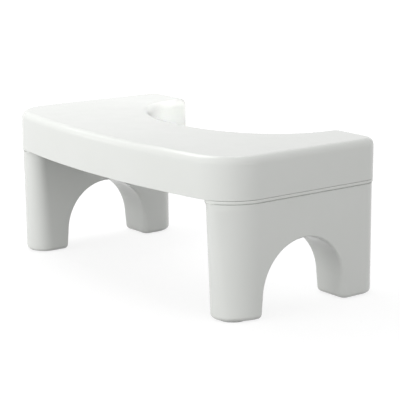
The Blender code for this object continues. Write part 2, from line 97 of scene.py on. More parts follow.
# Groove right under the flange, and the flare of the leg's inner face up to it
JOINT_GROOVE_HEIGHT = 1.3 * MM
JOINT_GROOVE_DEPTH = 2.2 * MM  # behind the leg's outer face
JOINT_GROOVE_REACH = 0.9 * MM  # of the groove's bottom beyond the leg's inner face
FLARE_REACH = 1.3 * MM
FLARE_HEIGHT = 7.5 * MM

# Leg body
LEG_STEP = 1.0 * MM  # how far the outer face lies behind the flange's edge
INNER_STEP = 2.5 * MM  # how far the inner face lies behind the deck's rim
OUTER_SPLAY = 0.8 * MM  # how far the outer face leans out, flange to foot
INNER_SPLAY = 1.5 * MM  # how far the inner face leans in, flange to foot
FOOT_INNER_RADIUS = 22 * MM  # of the front inner corner at the foot
LEG_WALL = 3.4 * MM
LEG_FLOOR = 4.4 * MM
SOLE_EDGE_RADIUS = 5 * MM
WEB_THICKNESS = 2.0 * MM
WEB_SPACING = 44 * MM
WEB_DROP = 8 * MM  # from the flange to the webs' top edge

# Arch through each leg
ARCH_CENTRE_Y = 9 * MM
ARCH_RADIUS = 56.5 * MM
ARCH_CROWN = 80 * MM  # height of the crown above the floor
JAMB_SPLAY = 1.2 * MM  # taper of each jamb, springing to foot
CROWN_EDGE_RADIUS = 2.5 * MM  # of the arch's edges at the crown, on both faces of the leg
FRONT_JAMB_EDGE_RADIUS = 5.5 * MM  # what that radius grows to at the foot
REAR_JAMB_EDGE_RADIUS = 9 * MM
SKIM = 0.05 * MM  # how far the arch's rounding stands off the face it runs into, so that no cut is tangent

# Snap hooks on the spigot's inner side, and their windows in the deck
HOOK_SPACING = 96 * MM
HOOK_WIDTH = 12 * MM
HOOK_NOSE = 2.2 * MM
HOOK_CATCH = 9 * MM  # height of the window's sill above the rim
HOOK_NOSE_HEIGHT = 6 * MM
HOOK_LEAD = 0.6 * MM  # flat left at the top of the nose
HOOK_SLIT = 2.0 * MM
HOOK_SETBACK = 0.15 * MM  # from the spigot's outer face to the tongue's
WINDOW_SIDE_GAP = 1.0 * MM
WINDOW_HEIGHT = 8 * MM

# Foot pads
PAD_THICKNESS = 2.5 * MM
PAD_MARGIN = 8.5 * MM
PAD_EDGE_RADIUS = 0.6 * MM
TREAD_GROOVE_INSETS = (4 * MM, 8 * MM)
TREAD_GROOVE_WIDTH = 1.6 * MM
TREAD_GROOVE_DEPTH = 0.6 * MM
TREAD_GROOVE_SLOPE = 0.3 * MM
STUD_SPACING = 17 * MM
STUD_RADIUS = 2.7 * MM
STUD_HEAD_RADIUS = 3.9 * MM
STUD_TIP_RADIUS = 2.0 * MM
STUD_HEAD_HEIGHT = 3.0 * MM

# Steps of the curves
CORNER_STEPS = 18
BOW_STEPS = 24
RECESS_STEPS = 40
TOP_EDGE_STEPS = 10
SMALL_EDGE_STEPS = 3
SOLE_EDGE_STEPS = 8
FLARE_STEPS = 5
ARCH_STEPS = 48
ARCH_EDGE_STEPS = 8
STUD_STEPS = 40
SMOOTH_BELOW_DEGREES = 30
OVERRUN = 10 * MM  # how far a cutter runs past what it cuts
WELD = 0.001 * MM  # points closer than this become one

# Heights and places that follow from the sizes above
CEILING_Z = HEIGHT - DECK_PLATE
RIB_Z = CEILING_Z - RIB_DEPTH
FLANGE_TOP_Z = RIM_Z - FIT_GAP
FLANGE_BOTTOM_Z = FLANGE_TOP_Z - FLANGE_THICKNESS
GROOVE_Z = FLANGE_BOTTOM_Z - JOINT_GROOVE_HEIGHT
SPLAY_TOP_Z = FLANGE_BOTTOM_Z - INNER_STEP
SPIGOT_TOP_Z = FLANGE_TOP_Z + SPIGOT_HEIGHT
SPIGOT_INSET = DECK_WALL + FIT_GAP
SIDE_Z = FOOT_Z + SOLE_EDGE_RADIUS
LEG_TOP_X = FLANGE_X + INNER_STEP
LEG_FOOT_X = LEG_TOP_X - INNER_SPLAY
FOOT_STEP = LEG_STEP - OUTER_SPLAY
REAR_Y = DEPTH / 2
FRONT_CHORD_Y = FRONT_BULGE - DEPTH / 2
RECESS_CENTRE_Y = REAR_Y - HORN_RADIUS
SPRING_Z = ARCH_CROWN - ARCH_RADIUS

# The camera, fitted to the photograph
CAMERA_PLACE = Vector((1.38108, -1.03122, 0.47052))
CAMERA_AHEAD = Vector((-0.77372, 0.59469, -0.21841))
CAMERA_RIGHT = Vector((0.60941, 0.79286, 0.0))
CAMERA_LENS = 136.41
CAMERA_SENSOR = 36.0

Line = namedtuple("Line", "normal distance")
Bow = namedtuple("Bow", "centre radius")
Station = namedtuple("Station", "point normal")
ArchStation = namedtuple("ArchStation", "y z way inset")


# Outlines seen from above

def direction(angle):
    return Vector((math.cos(angle), math.sin(angle)))


def front_side():
    """The front edge: an arc through both front corners that bulges by FRONT_BULGE."""
    half_chord = LENGTH / 2
    radius = (half_chord**2 + FRONT_BULGE**2) / (2 * FRONT_BULGE)
    return Bow(Vector((0, radius - DEPTH / 2)), radius)


def end_side():
    """The right-hand end face, which leans in towards the rear."""
    corner = Vector((LENGTH / 2, FRONT_CHORD_Y))
    normal = Vector((REAR_Y - FRONT_CHORD_Y, END_TAPER)).normalized()
    return Line(normal, normal.dot(corner))


def rear_side():
    return Line(Vector((0, 1)), REAR_Y)


def inner_side(x):
    """The leg's face towards the middle of the stool."""
    return Line(Vector((-1, 0)), -x)


def arc(centre, radius, start, end, steps):
    """Stations on an arc, anticlockwise from angle start to angle end."""
    angles = [start + (end - start) * i / steps for i in range(steps + 1)]
    return [Station(centre + radius * direction(a), direction(a)) for a in angles]


def fillet_centre(first, second, radius):
    """Centre of the arc that rounds one side into the next, inside both."""
    if isinstance(first, Line) and isinstance(second, Line):
        a, b = first.distance - radius, second.distance - radius
        n, m = first.normal, second.normal
        turn = n.x * m.y - n.y * m.x
        return Vector(((a * m.y - b * n.y) / turn, (n.x * b - m.x * a) / turn))
    bow, line = (first, second) if isinstance(first, Bow) else (second, first)
    along = Vector((-line.normal.y, line.normal.x))
    foot = line.normal * (line.distance - radius) - bow.centre
    half = foot.dot(along)
    reach = math.sqrt((bow.radius - radius) ** 2 - foot.length_squared + half**2)
    found = [bow.centre + foot + along * (s - half) for s in (reach, -reach)]
    return min(found, key=lambda centre: centre.y)


def facing(side, centre):
    """Angle of the side's outward normal where the fillet with this centre touches it."""
    normal = centre - side.centre if isinstance(side, Bow) else side.normal
    return math.atan2(normal.y, normal.x)


def deck_outline():
    """The deck seen from above: bowed front, straight ends, and a round recess between two horns."""
    front, end, rear = front_side(), end_side(), rear_side()
    front_corner = fillet_centre(front, end, FRONT_CORNER_RADIUS)
    rear_corner = fillet_centre(end, rear, REAR_CORNER_RADIUS)
    turn_in, turn_up = facing(front, front_corner), facing(end, front_corner)
    horn_centre = Vector((RECESS_HALF_WIDTH + HORN_RADIUS, RECESS_CENTRE_Y))
    half = arc(*front, -math.pi / 2, turn_in, BOW_STEPS)
    half += arc(front_corner, FRONT_CORNER_RADIUS, turn_in, turn_up, CORNER_STEPS)[1:]
    half += arc(rear_corner, REAR_CORNER_RADIUS, turn_up, math.pi / 2, CORNER_STEPS)
    half += arc(horn_centre, HORN_RADIUS, math.pi / 2, math.pi, CORNER_STEPS)
    half += recess_quarter()[1:]
    mirrored = [Station(Vector((-p.x, p.y)), Vector((-n.x, n.y))) for p, n in half[-2:0:-1]]
    return half + mirrored


def recess_quarter():
    """Stations on the recess's right half, from the horn to the middle. They face into the recess."""
    across, deep = RECESS_HALF_WIDTH, RECESS_DEPTH - HORN_RADIUS
    power = 2 / RECESS_FULLNESS
    stations = []
    for i in range(RECESS_STEPS + 1):
        turn = direction(math.pi / 2 * i / RECESS_STEPS)
        x, y = max(turn.x, 0) ** power, turn.y**power
        point = Vector((across * x, RECESS_CENTRE_Y - deep * y))
        slope_x, slope_y = x ** (RECESS_FULLNESS - 1) / across, y ** (RECESS_FULLNESS - 1) / deep
        stations.append(Station(point, Vector((-slope_x, slope_y)).normalized()))
    return stations


def leg_outline(inner_x, front_inner_radius=FRONT_INNER_RADIUS):
    """The leg seen from above: the deck's outline, closed off by the leg's inner face."""
    inner, front, end, rear = inner_side(inner_x), front_side(), end_side(), rear_side()
    front_corner = Bow(fillet_centre(front, end, FRONT_CORNER_RADIUS), FRONT_CORNER_RADIUS)
    rear_corner = fillet_centre(end, rear, REAR_CORNER_RADIUS)
    front_room = (FRONT_CORNER_RADIUS + front_corner.centre.x - inner_x) / 2
    front_radius = min(front_inner_radius, front_room)
    front_inner_corner = fillet_centre(inner, front_corner, front_radius)
    meet, turn_up = facing(front_corner, front_inner_corner), facing(end, front_corner.centre)
    rear_inner_corner, leave = rear_inner_arc(inner, rear, rear_corner, rear_corner.x - inner_x)
    stations = arc(front_inner_corner, front_radius, -math.pi, meet, CORNER_STEPS)
    stations += arc(*front_corner, meet, turn_up, CORNER_STEPS)[1:]
    stations += arc(rear_corner, REAR_CORNER_RADIUS, turn_up, leave, CORNER_STEPS)
    stations += arc(*rear_inner_corner, leave, math.pi, CORNER_STEPS)
    return stations


def rear_inner_arc(inner, rear, rear_corner, room):
    """The leg's rear inner corner, and the angle where it starts.

    It leaves the rear edge, or the rear outer corner where its radius takes up all the room beside that.
    """
    if REAR_CORNER_RADIUS < room < REAR_INNER_RADIUS:
        outer = Bow(rear_corner, REAR_CORNER_RADIUS)
        found = Bow(fillet_centre(inner, outer, REAR_INNER_RADIUS), REAR_INNER_RADIUS)
        return found, facing(found, rear_corner)
    radius = min(REAR_INNER_RADIUS, room)
    return Bow(fillet_centre(rear, inner, radius), radius), math.pi / 2


def pad_outline(is_front):
    """A foot pad seen from above: a slot shape in the middle of the sole."""
    jamb = ARCH_RADIUS + JAMB_SPLAY
    sole = foot_ring(0, FOOT_Z)
    inner = min(p.x for p in sole)
    outer = max(p.x for p in sole if (p.y < ARCH_CENTRE_Y) == is_front)
    near = ARCH_CENTRE_Y - jamb if is_front else ARCH_CENTRE_Y + jamb
    far = min(p.y for p in sole) if is_front else max(p.y for p in sole)
    radius = (outer - inner) / 2 - PAD_MARGIN
    half = max(abs(far - near) / 2 - PAD_MARGIN - radius, 0)
    middle = Vector(((inner + outer) / 2, (near + far) / 2))
    stations = arc(middle + Vector((0, half)), radius, 0, math.pi, 2 * CORNER_STEPS)
    return stations + arc(middle - Vector((0, half)), radius, math.pi, math.tau, 2 * CORNER_STEPS)


# Sections and solids

def ring(stations, inset, z):
    """The outline moved inwards by inset, at height z."""
    return [(p - n * inset).to_3d() + Vector((0, 0, z)) for p, n in stations]


def leg_ring(inset, inner_x, z):
    """The leg's section at height z, inset from the deck's outline, with its inner face at inner_x."""
    return ring(leg_outline(inner_x - inset), inset, z)


def foot_ring(wall, z):
    """The leg's section at the foot, or that of its hollow behind a wall."""
    stations = leg_outline(LEG_FOOT_X - FOOT_STEP, FOOT_INNER_RADIUS)
    return ring(stations, FOOT_STEP + wall, z)


def quarter(radius, steps):
    """(in, up) offsets along a quarter round, from an upright wall over to a level face."""
    turns = [math.pi / 2 * i / steps for i in range(steps + 1)]
    return [(radius * (1 - math.cos(t)), radius * math.sin(t)) for t in turns]


def top_edge(radius, z, steps):
    """(inset, height) up and over a rounded upper edge at height z."""
    return [(i, z - radius + up) for i, up in quarter(radius, steps)]


def bottom_edge(radius, z, steps):
    """(inset, height) out and up round a lower edge at height z."""
    return [(i, z + radius - up) for i, up in reversed(quarter(radius, steps))]


def new_object(name, data):
    made = bpy.data.objects.new(name, data)
    bpy.context.scene.collection.objects.link(made)
    return made


def from_bmesh(name, bm, material=None):
    bmesh.ops.recalc_face_normals(bm, faces=bm.faces)
    mesh = bpy.data.meshes.new(name)
    bm.to_mesh(mesh)
    bm.free()
    if material:
        mesh.materials.append(material)
    return new_object(name, mesh)


def loft(name, rings, material=None):
    """A closed solid through rings of equal count, with flat ends."""
    bm = bmesh.new()
    rows = [[bm.verts.new(point) for point in points] for points in rings]
    for lower, upper in zip(rows, rows[1:]):
        for i in range(len(lower)):
            bm.faces.new((lower[i - 1], lower[i], upper[i], upper[i - 1]))
    bm.faces.new(rows[0])
    bm.faces.new(rows[-1])
    bmesh.ops.remove_doubles(bm, verts=bm.verts, dist=WELD)
    return from_bmesh(name, bm, material)


def boxes(name, corners, material=None):
    """One object of separate boxes, each given by its low and high corner."""
    bm = bmesh.new()
    for low, high in corners:
        low, high = Vector(low), Vector(high)
        place = Matrix.Translation((low + high) / 2) @ Matrix.Diagonal((*(high - low), 1))
        bmesh.ops.create_cube(bm, size=1, matrix=place)
    return from_bmesh(name, bm, material)


def prism(name, points, sweep, material=None):
    """A flat outline of 3D points, drawn out along the vector sweep."""
    bm = bmesh.new()
    face = bm.faces.new([bm.verts.new(point) for point in points])
    drawn = bmesh.ops.extrude_face_region(bm, geom=[face])
    moved = [v for v in drawn["geom"] if isinstance(v, bmesh.types.BMVert)]
    bmesh.ops.translate(bm, verts=moved, vec=sweep)
    return from_bmesh(name, bm, material)


def stud(name, low, high, low_radius, high_radius, x, y, material=None):
    """An upright cylinder or cone between two heights."""
    bm = bmesh.new()
    place = Matrix.Translation((x, y, (low + high) / 2))
    bmesh.ops.create_cone(
        bm,
        cap_ends=True,
        segments=STUD_STEPS,
        radius1=low_radius,
        radius2=high_radius,
        depth=high - low,
        matrix=place,
    )
    return from_bmesh(name, bm, material)


def baked(made):
    """The object's mesh with its modifiers applied."""
    graph = bpy.context.evaluated_depsgraph_get()
    made.data = bpy.data.meshes.new_from_object(made.evaluated_get(graph))
    made.modifiers.clear()
    return made


def combine(target, tool, operation):
    """Joins or cuts target with tool, whose faces bring their material along, and removes the tool."""
    modifier = target.modifiers.new(operation.lower(), "BOOLEAN")
    modifier.operation = operation
    modifier.solver = "EXACT"
    modifier.material_mode = "TRANSFER"
    modifier.object = tool
    baked(target)
    bpy.data.objects.remove(tool)
    return target


# Deck

def bay_profile():
    """(inset, height) down the inside of a bay: up the skirt's inner face and over to the ceiling."""
    radius = TOP_EDGE_RADIUS - DECK_WALL
    rise = [(DECK_WALL + i, z) for i, z in top_edge(radius, CEILING_Z, TOP_EDGE_STEPS)]
    return [(DECK_WALL, RIM_Z - OVERRUN)] + rise


def middle_bay(material):
    """The deck's hollow between the two leg sockets."""
    stations = deck_outline()
    bay = loft("middle_bay", [ring(stations, inset, z) for inset, z in bay_profile()], material)
    low, high = RIM_Z - 2 * OVERRUN, HEIGHT + OVERRUN
    for side in (1, -1):
        rings = [leg_ring(0, FLANGE_X, low), leg_ring(0, FLANGE_X, high)]
        block = loft("socket_block", rings, material)
        if side < 0:
            flip(block)
        combine(bay, block, "DIFFERENCE")
    return bay


def socket_bay(material):
    """The hollow that the right-hand leg's spigot enters."""
    rings = [leg_ring(inset, FLANGE_X + inset, z) for inset, z in bay_profile()]
    return loft("socket_bay", rings, material)


def flip(target):
    """Mirrors the object's mesh across the stool's middle plane."""
    target.data.transform(Matrix.Scale(-1, 4, Vector((1, 0, 0))))
    target.data.flip_normals()


def rib_places():
    """(x places, y places) of the ribs' middle planes."""
    cell = 2 * FLANGE_X / MIDDLE_BAY_CELLS
    across = [cell * i - FLANGE_X for i in range(1, MIDDLE_BAY_CELLS)]
    socket = LENGTH / 2 - FLANGE_X - DECK_WALL
    for i in range(1, SOCKET_BAY_CELLS):
        x = FLANGE_X + DECK_WALL + (socket - DECK_WALL) * i / SOCKET_BAY_CELLS
        across += [x, -x]
    waist = (DEPTH - RECESS_DEPTH) / WAIST_CELLS
    rows = int(DEPTH / waist)
    along = [waist * i - DEPTH / 2 for i in range(1, rows) if i != WAIST_CELLS]
    return across, along


def ribs(name, places, is_across, material):
    """Parallel ribs: upright boards that hang from the ceiling."""
    half, reach = RIB_THICKNESS / 2, LENGTH / 2 + OVERRUN
    top = CEILING_Z + OVERRUN
    if is_across:
        found = [((x - half, -reach, RIB_Z), (x + half, reach, top)) for x in places]
    else:
        found = [((-reach, y - half, RIB_Z), (reach, y + half, top)) for y in places]
    return boxes(name, found, material)


def hook_places():
    return [ARCH_CENTRE_Y - HOOK_SPACING / 2, ARCH_CENTRE_Y + HOOK_SPACING / 2]


def window_cutters(material):
    """Windows through both sockets' inner walls, one for each hook."""
    half = HOOK_WIDTH / 2 + WINDOW_SIDE_GAP
    low, high = RIM_Z + HOOK_CATCH, RIM_Z + HOOK_CATCH + WINDOW_HEIGHT
    near, far = FLANGE_X - OVERRUN, FLANGE_X + DECK_WALL + OVERRUN
    found = []
    for y in hook_places():
        found.append(((near, y - half, low), (far, y + half, high)))
        found.append(((-far, y - half, low), (-near, y + half, high)))
    return boxes("windows", found, material)


def make_deck(outside, inside):
    stations = deck_outline()
    profile = bottom_edge(RIM_ROUND, RIM_Z, SMALL_EDGE_STEPS)
    profile += top_edge(TOP_EDGE_RADIUS, HEIGHT, TOP_EDGE_STEPS)
    deck = loft("deck_moulding", [ring(stations, inset, z) for inset, z in profile], outside)
    across, along = rib_places()
    left_bay = socket_bay(inside)
    flip(left_bay)
    for bay in (middle_bay(inside), socket_bay(inside), left_bay):
        combine(bay, ribs("cross_ribs", across, True, inside), "DIFFERENCE")
        combine(bay, ribs("long_ribs", along, False, inside), "DIFFERENCE")
        combine(deck, bay, "DIFFERENCE")
    combine(deck, window_cutters(inside), "DIFFERENCE")
    return deck


# Legs

def leg_body(material):
    """The leg's outside: rounded sole, splayed walls, flare, groove, flange and spigot, less the arch."""
    rings = [foot_ring(inset, z) for inset, z in bottom_edge(SOLE_EDGE_RADIUS, FOOT_Z, SOLE_EDGE_STEPS)]
    for out, up in quarter(1, FLARE_STEPS):
        z = GROOVE_Z - (1 - up) * FLARE_HEIGHT
        rings.append(leg_ring(LEG_STEP, LEG_TOP_X - out * FLARE_REACH, z))
    for z in (GROOVE_Z, FLANGE_BOTTOM_Z):
        rings.append(leg_ring(LEG_STEP + JOINT_GROOVE_DEPTH, LEG_TOP_X - JOINT_GROOVE_REACH, z))
    flange = bottom_edge(FLANGE_BOTTOM_ROUND, FLANGE_BOTTOM_Z, SMALL_EDGE_STEPS)
    flange += top_edge(FLANGE_TOP_ROUND, FLANGE_TOP_Z, SMALL_EDGE_STEPS)
    rings += [leg_ring(inset, FLANGE_X + FLANGE_SETBACK + inset, z) for inset, z in flange]
    for z in (FLANGE_TOP_Z, SPIGOT_TOP_Z):
        rings.append(leg_ring(SPIGOT_INSET, FLANGE_X + SPIGOT_INSET, z))
    return combine(loft("leg", rings, material), arch("arch", 0, material), "DIFFERENCE")


def arch_stations(wall):
    """Up the rear jamb, over the crown and down the front jamb, each with its least edge radius.

    Without a wall that is the sole's rounding, which fades out up the foot. With one it is the wall itself.
    """
    if wall:
        rise = [(wall, FOOT_Z - OVERRUN)]
    else:
        rise = [(i, z - SKIM) for i, z in bottom_edge(SOLE_EDGE_RADIUS, FOOT_Z, SOLE_EDGE_STEPS)]
        rise.insert(0, (SOLE_EDGE_RADIUS, FOOT_Z - OVERRUN))
    jamb = [(ARCH_RADIUS + JAMB_SPLAY * (SPRING_Z - z) / (SPRING_Z - FOOT_Z), z, i) for i, z in rise]
    stations = [ArchStation(ARCH_CENTRE_Y + out, z, Vector((1, 0)), i) for out, z, i in jamb]
    for step in range(ARCH_STEPS + 1):
        way = direction(math.pi * step / ARCH_STEPS)
        place = ARCH_RADIUS * way + Vector((ARCH_CENTRE_Y, SPRING_Z))
        stations.append(ArchStation(place.x, place.y, way, wall))
    stations += [ArchStation(ARCH_CENTRE_Y - out, z, Vector((-1, 0)), i) for out, z, i in reversed(jamb)]
    return stations


def arch_ring(stations, turn, is_outer):
    """One section of the arch's tool: turn 0 is inside the tunnel, a quarter turn is at the leg's face."""
    end, points = end_side(), []
    for y, z, way, inset in stations:
        drop = (ARCH_CROWN - z) / (ARCH_CROWN - FOOT_Z)
        jamb_radius = REAR_JAMB_EDGE_RADIUS if way.x > 0 else FRONT_JAMB_EDGE_RADIUS
        radius = max(CROWN_EDGE_RADIUS + (jamb_radius - CROWN_EDGE_RADIUS) * drop**2, inset)
        depth = radius - (radius - inset) * math.sin(turn) - SKIM
        grown = radius - (radius - inset) * math.cos(turn)
        rise = max(z - SIDE_Z, 0) / (SPLAY_TOP_Z - SIDE_Z)
        if is_outer:
            step = FOOT_STEP + OUTER_SPLAY * rise
            x = (end.distance - step - end.normal.y * y) / end.normal.x - depth
        else:
            x = LEG_FOOT_X + INNER_SPLAY * rise + depth
        points.append(Vector((x, y + grown * way.x, z + grown * way.y)))
    return points


def moved_to(x, points):
    return [Vector((x, p.y, p.z)) for p in points]


def arch(name, wall, material):
    """The arch's tunnel with rounded edges, or the hump round it where wall is a wall's thickness."""
    stations = arch_stations(wall)
    turns = [math.pi / 2 * i / ARCH_EDGE_STEPS for i in range(ARCH_EDGE_STEPS + 1)]
    inner = [arch_ring(stations, turn, False) for turn in reversed(turns)]
    outer = [arch_ring(stations, turn, True) for turn in turns]
    near, far = FLANGE_X - OVERRUN, LENGTH / 2 + OVERRUN
    sections = [moved_to(near, inner[0])] + inner + outer + [moved_to(far, outer[-1])]
    return loft(name, sections, material)


def leg_cavity(material):
    """The leg's hollow, open at the top, with a hump over the arch and webs above it."""
    inset = SPIGOT_INSET + SPIGOT_WALL
    rings = [
        foot_ring(LEG_WALL, FOOT_Z + LEG_FLOOR),
        leg_ring(inset, FLANGE_X + inset, FLANGE_BOTTOM_Z),
        leg_ring(inset, FLANGE_X + inset, SPIGOT_TOP_Z + OVERRUN),
    ]
    cavity = loft("leg_cavity", rings, material)
    combine(cavity, arch("hump", LEG_WALL, material), "DIFFERENCE")
    half, reach = WEB_THICKNESS / 2, LENGTH
    webs = []
    for y in (ARCH_CENTRE_Y - WEB_SPACING / 2, ARCH_CENTRE_Y + WEB_SPACING / 2):
        webs.append(((0, y - half, 0), (reach, y + half, FLANGE_BOTTOM_Z - WEB_DROP)))
    combine(cavity, boxes("webs", webs, material), "DIFFERENCE")
    return cavity


def hook(y, material):
    """A springy tongue on the spigot's inner side, with a nose that catches in the deck's window."""
    outside = FLANGE_X + SPIGOT_INSET + HOOK_SETBACK
    inside = outside + SPIGOT_WALL
    root = FLANGE_TOP_Z + SPIGOT_HEIGHT / 2
    catch = RIM_Z + HOOK_CATCH + FIT_GAP
    top = catch + HOOK_NOSE_HEIGHT
    profile = [
        (inside, root),
        (inside, top),
        (outside + HOOK_LEAD, top),
        (outside - HOOK_NOSE, catch + HOOK_LEAD),
        (outside - HOOK_NOSE, catch),
        (outside, catch),
        (outside, root),
    ]
    points = [Vector((x, y - HOOK_WIDTH / 2, z)) for x, z in profile]
    return prism("hook", points, Vector((0, HOOK_WIDTH, 0)), material)


def slit_cutters(material):
    """Slits in the spigot on both sides of each hook, so that its tongue can bend."""
    near, far = FLANGE_X + DECK_WALL / 2, FLANGE_X + SPIGOT_INSET + SPIGOT_WALL + OVERRUN / 2
    low, high = FLANGE_TOP_Z + FIT_GAP, SPIGOT_TOP_Z + OVERRUN
    found = []
    for y in hook_places():
        for edge in (y - HOOK_WIDTH / 2 - HOOK_SLIT, y + HOOK_WIDTH / 2):
            found.append(((near, edge, low), (far, edge + HOOK_SLIT, high)))
    return boxes("slits", found, material)


def make_leg(outside, inside):
    """The right-hand leg."""
    leg = combine(leg_body(outside), leg_cavity(inside), "DIFFERENCE")
    combine(leg, slit_cutters(inside), "DIFFERENCE")
    for y in hook_places():
        combine(leg, hook(y, inside), "UNION")
    for is_front in (True, False):
        combine(leg, loft("pad_recess", recess_rings(is_front), inside), "DIFFERENCE")
        for x, y in stud_places(is_front):
            radius = STUD_RADIUS + FIT_GAP
            top = FOOT_Z + LEG_FLOOR + OVERRUN / 2
            combine(leg, stud("stud_hole", 0, top, radius, radius, x, y, inside), "DIFFERENCE")
    return leg


# Foot pads

def pad_rings(is_front):
    """The pad's sections, from the middle of its grooved tread out and up."""
    stations = pad_outline(is_front)
    profile = []
    for near in reversed(TREAD_GROOVE_INSETS):
        far = near + TREAD_GROOVE_WIDTH
        corners = (far - TREAD_GROOVE_SLOPE, near + TREAD_GROOVE_SLOPE)
        profile += [(far, 0), *[(inset, TREAD_GROOVE_DEPTH) for inset in corners], (near, 0)]
    profile += bottom_edge(PAD_EDGE_RADIUS, 0, SMALL_EDGE_STEPS)
    profile.append((0, PAD_THICKNESS))
    return [ring(stations, FIT_GAP + inset, z) for inset, z in profile]


def recess_rings(is_front):
    """The shallow recess in the sole that the pad sits in."""
    stations = pad_outline(is_front)
    return [ring(stations, 0, FOOT_Z - OVERRUN), ring(stations, 0, PAD_THICKNESS + FIT_GAP)]


def stud_places(is_front):
    """(x, y) of the two studs of a pad, in line with the middle of its sole."""
    points = pad_rings(is_front)[-1]
    x = (min(p.x for p in points) + max(p.x for p in points)) / 2
    y = (min(p.y for p in points) + max(p.y for p in points)) / 2
    return [(x, y - STUD_SPACING / 2), (x, y + STUD_SPACING / 2)]


def make_pad(is_front, rubber):
    """A right-hand foot pad: a grooved tread with two barbed studs that push through the foot's floor."""
    pad = loft("pad", pad_rings(is_front), rubber)
    stem_z = PAD_THICKNESS / 2
    head_z = FOOT_Z + LEG_FLOOR + FIT_GAP
    middle, top = head_z + STUD_HEAD_HEIGHT / 2, head_z + STUD_HEAD_HEIGHT
    for x, y in stud_places(is_front):
        stem = stud("stem", stem_z, middle, STUD_RADIUS, STUD_RADIUS, x, y, rubber)
        combine(pad, stem, "UNION")
        head = stud("head", head_z, top, STUD_HEAD_RADIUS, STUD_TIP_RADIUS, x, y, rubber)
        combine(pad, head, "UNION")
    return pad


def mirrored_copy(made):
    """The left-hand twin of a right-hand piece."""
    copy = new_object(made.name, made.data.copy())
    flip(copy)
    return copy


def smoothed(made):
    """Shades curved faces smooth and keeps the flat ones flat."""
    made.data.shade_smooth()
    made.data.set_sharp_from_angle(angle=math.radians(SMOOTH_BELOW_DEGREES))
    weighting = made.modifiers.new("weighted_normals", "WEIGHTED_NORMAL")
    weighting.keep_sharp = True
    return baked(made)


def place(made, name, node, slot):
    """Names a finished piece, shades it smooth, hangs it under the root body and hides the CAD node that it
    stands for. The slot argument is not used.
    """
    made.name = name
    made.data.name = name
    smoothed(made)
    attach(made, "root")
    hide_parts(node)


# Shader nodes

def map_range(tree, value, low, high, to_low, to_high):
    """Maps low..high of a value to to_low..to_high, clamped."""
    node = tree.nodes.new("ShaderNodeMapRange")
    settings = (("From Min", low), ("From Max", high), ("To Min", to_low), ("To Max", to_high))
    for name, number in settings:
        node.inputs[name].default_value = number
    tree.links.new(value, node.inputs["Value"])
    return node.outputs["Result"]


def calculate(tree, operation, first, second):
    """A Math node's result from a node's output, and another output or a number."""
    node = tree.nodes.new("ShaderNodeMath")
    node.operation = operation
    tree.links.new(first, node.inputs[0])
    if isinstance(second, (int, float)):
        node.inputs[1].default_value = second
    else:
        tree.links.new(second, node.inputs[1])
    return node.outputs["Value"]


def mix_colours(tree, factor, first, second):
    """A colour between two, each a fixed colour or another node's output."""
    node = tree.nodes.new("ShaderNodeMix")
    node.data_type = "RGBA"
    tree.links.new(factor, node.inputs["Factor"])
    for socket, colour in (("A", first), ("B", second)):
        target = next(s for s in node.inputs if s.name == socket and s.type == "RGBA")
        if isinstance(colour, tuple):
            target.default_value = (*colour, 1)
        else:
            tree.links.new(colour, target)
    return next(s for s in node.outputs if s.type == "RGBA")


# Finishes

Noise = namedtuple("Noise", "scale detail roughness stretch", defaults=(2, 0.5, (1, 1, 1)))

MOULDING_COLOUR = (0.858, 0.873, 0.845)
SHADED_COLOUR = (0.838, 0.855, 0.824)
GRIME_COLOUR = (0.62, 0.61, 0.56)
RUBBER_COLOUR = (0.62, 0.63, 0.62)
WORN_RUBBER_COLOUR = (0.50, 0.51, 0.50)

# Noises, with about as many features to the metre as their first number
PLASTIC_CLOUDS = Noise(14, 3)
PLASTIC_SHEEN = Noise(35, 4)
PLASTIC_FLOW = Noise(45)  # the slow waviness that a moulded wall has
PLASTIC_GRAIN = Noise(900)
GRIME = Noise(110, 5, 0.6)
SCRATCHES_ALONG_X = Noise(70, 3, 0.6, (1, 24, 1))
SCRATCHES_ALONG_Y = Noise(60, 3, 0.6, (18, 1, 1))
RUBBER_CLOUDS = Noise(120, 4)
RUBBER_SHEEN = Noise(300, 3)
RUBBER_GRAIN = Noise(1800, 3)

# What part of a noise's values, or of a normal's upward share, counts from nothing to all
MOST_OF_NOISE = (0.3, 0.7)
MIDDLE_OF_NOISE = (0.35, 0.65)
GRIME_SPAN = (0.42, 0.72)
SCRATCH_X_SPAN = (0.64, 0.70)
SCRATCH_Y_SPAN = (0.65, 0.71)
LEVEL_SPAN = (0.9, 0.99)

PLASTIC_IOR = 1.5
GLOSS_ROUGHNESS = (0.12, 0.18)  # least and most
SATIN_ROUGHNESS = (0.42, 0.55)
RUBBER_ROUGHNESS = (0.68, 0.86)
GLOSS_GRAIN_DEPTH = 0.001 * MM
SATIN_GRAIN_DEPTH = 0.02 * MM
RUBBER_GRAIN_DEPTH = 0.03 * MM
FLOW_DEPTH = 0.012 * MM
SCRATCH_DEPTH = 0.001 * MM
SCRATCH_ROUGHNESS = 0.05
GRIME_HEIGHT = 9 * MM
GRIME_STRENGTH = 0.35


